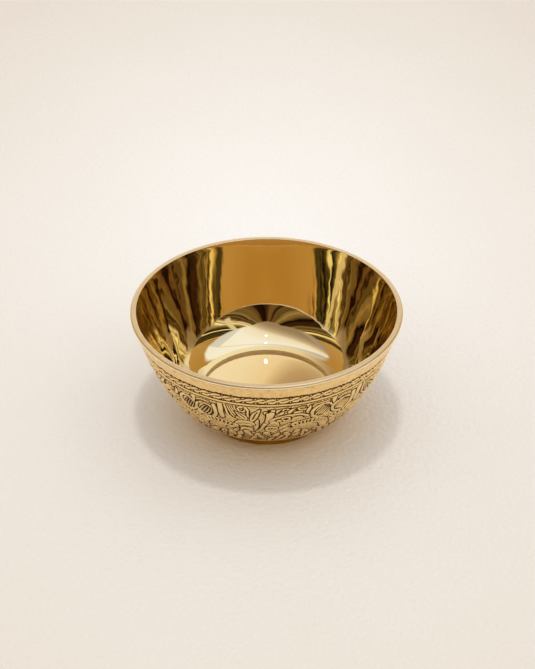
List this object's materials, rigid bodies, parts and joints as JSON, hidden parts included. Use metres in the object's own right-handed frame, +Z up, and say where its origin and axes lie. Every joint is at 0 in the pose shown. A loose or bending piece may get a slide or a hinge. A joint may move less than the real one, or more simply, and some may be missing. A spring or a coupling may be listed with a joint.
{
  "type": "offering bowl",
  "caption": "Flared footed bowl of brass, mirror-polished inside and engraved outside with scrolling ornament under a plain rim band, for holding offerings on an altar or table.",
  "frame": {"origin": "on the table under the middle of the foot ring", "axes": "+Z up along the bowl's axis; the bowl is round, so +X and +Y are any two level directions, with -Y towards the viewer"},
  "size_m": [0.114, 0.114, 0.0518],
  "materials": {
    "engraved_brass": "engraved outside with dark recesses, polished on the inside",
    "polished_brass": "mirror polish",
    "foot_brass": "satin, a little tarnished",
    "braze_alloy": "dull brazing alloy"
  },
  "bodies": {
    "root": {"wall_shell": "engraved_brass", "lip_ring": "polished_brass", "floor_disc": "polished_brass", "foot_ring": "foot_brass", "lip_braze": "braze_alloy", "floor_braze": "braze_alloy", "foot_braze": "braze_alloy"}
  },
  "joints": []
}
